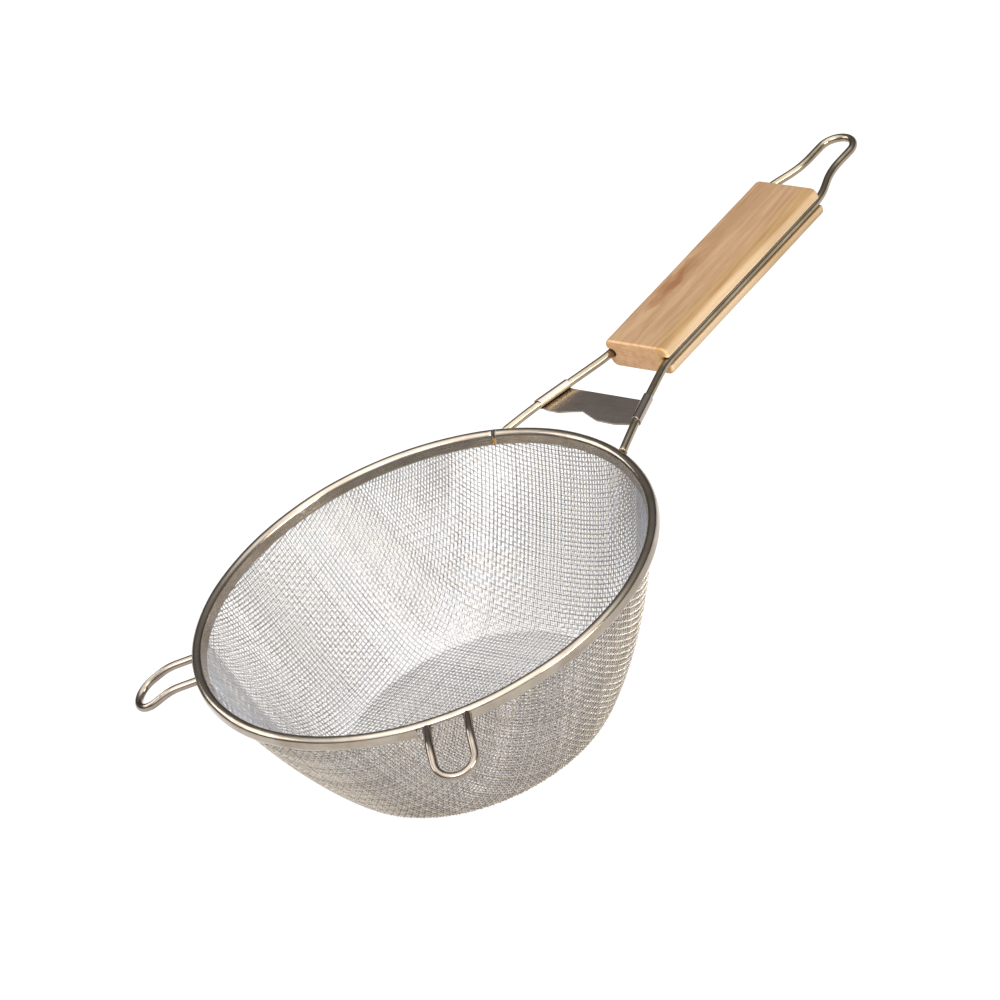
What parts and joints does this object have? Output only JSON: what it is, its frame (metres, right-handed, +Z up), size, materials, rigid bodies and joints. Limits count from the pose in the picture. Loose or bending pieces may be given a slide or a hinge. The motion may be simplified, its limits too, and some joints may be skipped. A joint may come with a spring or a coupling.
{
  "type": "double mesh sieve strainer",
  "caption": "Flat-bottomed round bowl of two nested wire meshes in a rolled rim, with a bent wire handle in a grooved wooden grip and rest hooks opposite it.",
  "frame": {"origin": "centre of the bowl's flat base, on the surface that it stands on", "axes": "+X from the bowl's axis along the handle to its hanging loop, +Y to the handle's left seen from the grip's end looking at the bowl's top from above with +Z up, +Z from the base up out of the bowl's mouth"},
  "size_m": [0.4097, 0.2012, 0.0832],
  "materials": {
    "outer_mesh": "tinned woven wire, satin",
    "inner_mesh": "tinned woven wire, finer than the outer layer, satin",
    "rim": "tinned sheet rolled over the mesh edge, semi-bright, a touch of rust at its seam",
    "rim_wire": "plain drawn wire, hidden",
    "handle_wire": "bright plated wire",
    "hook": "bright plated wire",
    "brace": "dull plated sheet",
    "weld": "small brown weld beads",
    "grip": "pale beech, lightly sanded, satin"
  },
  "bodies": {
    "root": {"outer_mesh_bowl": "outer_mesh", "inner_mesh_bowl": "inner_mesh", "rim_band": "rim", "rim_core_wire": "rim_wire", "handle_wire": "handle_wire", "wood_grip": "grip", "handle_brace": "brace", "rest_hook_left": "hook", "rest_hook_right": "hook", "weld_hook_left_front": "weld", "weld_hook_left_rear": "weld", "weld_hook_right_front": "weld", "weld_hook_right_rear": "weld", "weld_leg_left": "weld", "weld_leg_right": "weld"}
  },
  "joints": []
}
